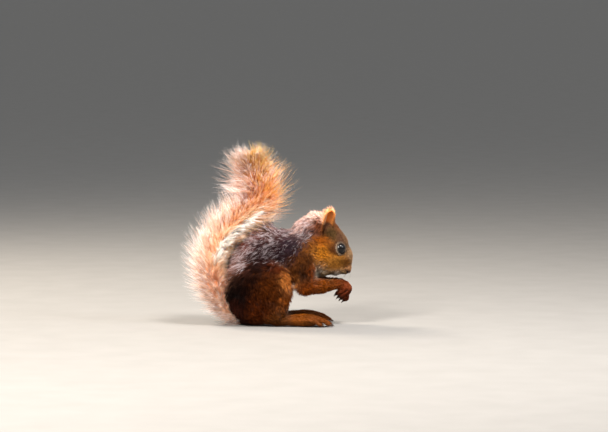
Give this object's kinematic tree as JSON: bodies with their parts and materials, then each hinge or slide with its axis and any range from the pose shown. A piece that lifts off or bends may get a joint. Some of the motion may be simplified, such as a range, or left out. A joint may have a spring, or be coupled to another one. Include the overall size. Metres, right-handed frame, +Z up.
{
  "type": "red squirrel model",
  "caption": "Life-size still model of a red squirrel sitting upright, hands held together, bushy tail raised along its back.",
  "frame": {"origin": "on the floor, on the flat under the rump that the animal sits on", "axes": "+X the way it faces, +Y its left side, +Z up"},
  "size_m": [0.1615, 0.068, 0.182],
  "materials": {
    "back_fur": "dark red-brown fur with grey-tipped guard hairs",
    "face_fur": "short orange-brown fur, darker on the crown, cream on chin and throat",
    "limb_fur": "short orange-brown fur with dark horn claws",
    "tail_fur": "long loose fur, orange to peach with pale tips",
    "eye": "wet black eye with a clear highlight"
  },
  "bodies": {
    "root": {"torso": "back_fur", "neck": "face_fur", "head": "face_fur", "ear_right": "face_fur", "ear_left": "face_fur", "eye_right": "eye", "eye_left": "eye", "upper_arm_right": "limb_fur", "forearm_right": "limb_fur", "hand_right": "limb_fur", "shank_right": "limb_fur", "foot_right": "limb_fur", "thigh_right": "back_fur", "upper_arm_left": "limb_fur", "forearm_left": "limb_fur", "hand_left": "limb_fur", "shank_left": "limb_fur", "foot_left": "limb_fur", "thigh_left": "back_fur", "tail_base": "tail_fur", "tail_middle": "tail_fur", "tail_tip": "tail_fur"}
  },
  "joints": []
}
